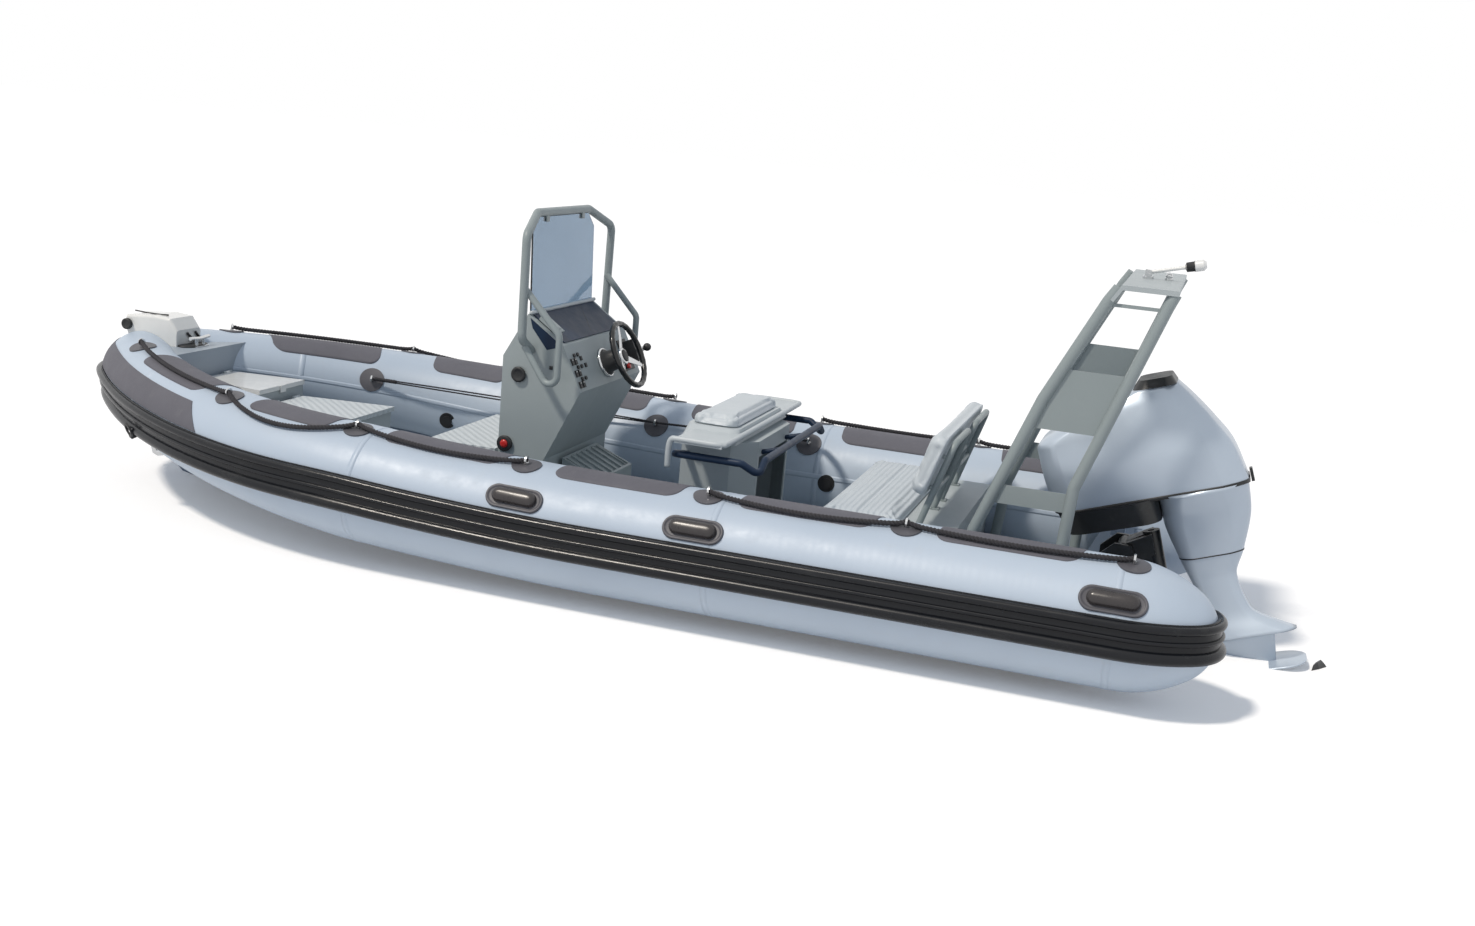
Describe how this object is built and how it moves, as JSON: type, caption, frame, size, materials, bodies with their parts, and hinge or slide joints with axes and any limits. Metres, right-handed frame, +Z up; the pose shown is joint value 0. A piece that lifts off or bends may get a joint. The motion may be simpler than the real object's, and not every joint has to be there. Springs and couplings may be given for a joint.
{
  "type": "inflatable rib boat",
  "caption": "Rigid inflatable boat afloat: grey tubes with a ribbed black band, console with windscreen, helm seat, bench, light arch and silver outboard engine.",
  "frame": {"origin": "where the waterline plane, the centreline and the aft face of the transom meet", "axes": "+X to the bow, +Y to port, +Z up"},
  "size_m": [6.0009, 2.2632, 2.0093],
  "materials": {
    "arch_paint": "satin",
    "band_rubber": "semi-gloss",
    "black_plastic": "matte",
    "bow_moulding": "satin",
    "deck_grip": "matte",
    "engine_black": "satin",
    "engine_silver": "metallic gloss",
    "gloss_white": "gloss",
    "handle_rubber": "matte",
    "hull_paint": "satin",
    "navy_panel": "satin",
    "pale_pad": "satin",
    "patch_rubber": "matte",
    "polished_steel": "polished",
    "seat_moulding": "satin",
    "smoked_glass": "gloss",
    "tube_fabric": "satin"
  },
  "bodies": {
    "boat": {"anchor_box": "gloss_white", "arch_frame": "arch_paint", "arch_panels": "arch_paint", "arch_top": "arch_paint", "backrest_cushion": "pale_pad", "backrest_frame": "hull_paint", "bench_box": "hull_paint", "bench_cushion": "pale_pad", "bow_cleat": "polished_steel", "bow_deck": "bow_moulding", "bow_eye": "polished_steel", "bow_patches": "patch_rubber", "bow_rings": "band_rubber", "bow_roller": "black_plastic", "clamp_bracket": "engine_black", "console_body": "hull_paint", "console_dash": "navy_panel", "console_fittings": "black_plastic", "console_hoop": "arch_paint", "console_seat_box": "hull_paint", "deck": "deck_grip", "footrest": "black_plastic", "fore_locker": "hull_paint", "grab_handles": "handle_rubber", "helm_boss": "black_plastic", "hull": "hull_paint", "lifeline_rings": "polished_steel", "light_base": "polished_steel", "ring_pads": "patch_rubber", "rub_band_port": "band_rubber", "rub_band_starboard": "band_rubber", "seat_box": "hull_paint", "seat_rail": "navy_panel", "step_box": "hull_paint", "stern_eyes": "polished_steel", "throttle": "black_plastic", "transom": "hull_paint", "tube_port": "tube_fabric", "tube_starboard": "tube_fabric", "tube_valves": "black_plastic", "wear_patches": "patch_rubber", "windscreen": "smoked_glass"},
    "step_lid_body": {"step_lid": "hull_paint"},
    "fore_locker_lid_body": {"fore_locker_lid": "pale_pad"},
    "console_seat_lid_body": {"console_seat_lid": "pale_pad"},
    "helm_seat_lid_body": {"seat_lid": "seat_moulding", "seat_cushion": "pale_pad"},
    "anchor_light": {"light_pole": "polished_steel", "light_globe": "gloss_white"},
    "helm_wheel": {"steering_wheel": "polished_steel"},
    "engine_swivel": {"swivel_bracket": "engine_black"},
    "engine": {"lower_pan": "black_plastic", "engine_leg": "engine_silver", "cowl": "engine_silver", "cowl_cap": "black_plastic"},
    "propeller_body": {"propeller": "engine_black"}
  },
  "joints": [
    {"name": "step_lid_hinge", "type": "hinge", "parent": "boat", "child": "step_lid_body", "pos_m": [4.452, 0, 0.52], "axis": [0, 1, 0], "range_deg": [0, 85]},
    {"name": "fore_locker_hinge", "type": "hinge", "parent": "boat", "child": "fore_locker_lid_body", "pos_m": [4.047, 0, 0.45], "axis": [0, 1, 0], "range_deg": [0, 85]},
    {"name": "console_seat_hinge", "type": "hinge", "parent": "boat", "child": "console_seat_lid_body", "pos_m": [2.737, 0, 0.46], "axis": [0, -1, 0], "range_deg": [0, 85]},
    {"name": "helm_seat_hinge", "type": "hinge", "parent": "boat", "child": "helm_seat_lid_body", "pos_m": [1.868, 0, 0.6553], "axis": [0, 1, 0], "range_deg": [0, 80]},
    {"name": "light_fold", "type": "hinge", "parent": "boat", "child": "anchor_light", "pos_m": [0.045, 0, 1.5403], "axis": [0, 1, 0], "range_deg": [0, 65]},
    {"name": "outboard_tilt", "type": "hinge", "parent": "boat", "child": "engine_swivel", "pos_m": [-0.02, 0, 0.385], "axis": [0, 1, 0], "range_deg": [-22, 50]},
    {"name": "outboard_steer", "type": "hinge", "parent": "engine_swivel", "child": "engine", "pos_m": [-0.16039, 0, 0.34124], "axis": [0.309, 0, 0.9511], "range_deg": [-30, 30]},
    {"name": "propeller_spin", "type": "hinge", "parent": "engine", "child": "propeller_body", "pos_m": [-0.90561, 0, -0.13687], "axis": [0.9511, 0, -0.309], "continuous": true},
    {"name": "helm_turn", "type": "hinge", "parent": "boat", "child": "helm_wheel", "pos_m": [2.27353, 0, 0.90865], "axis": [0.899, 0, -0.438], "range_deg": [-540, 540]}
  ],
  "couplings": [
    {"joint": "helm_turn", "follows": "outboard_steer", "ratio": 18}
  ]
}
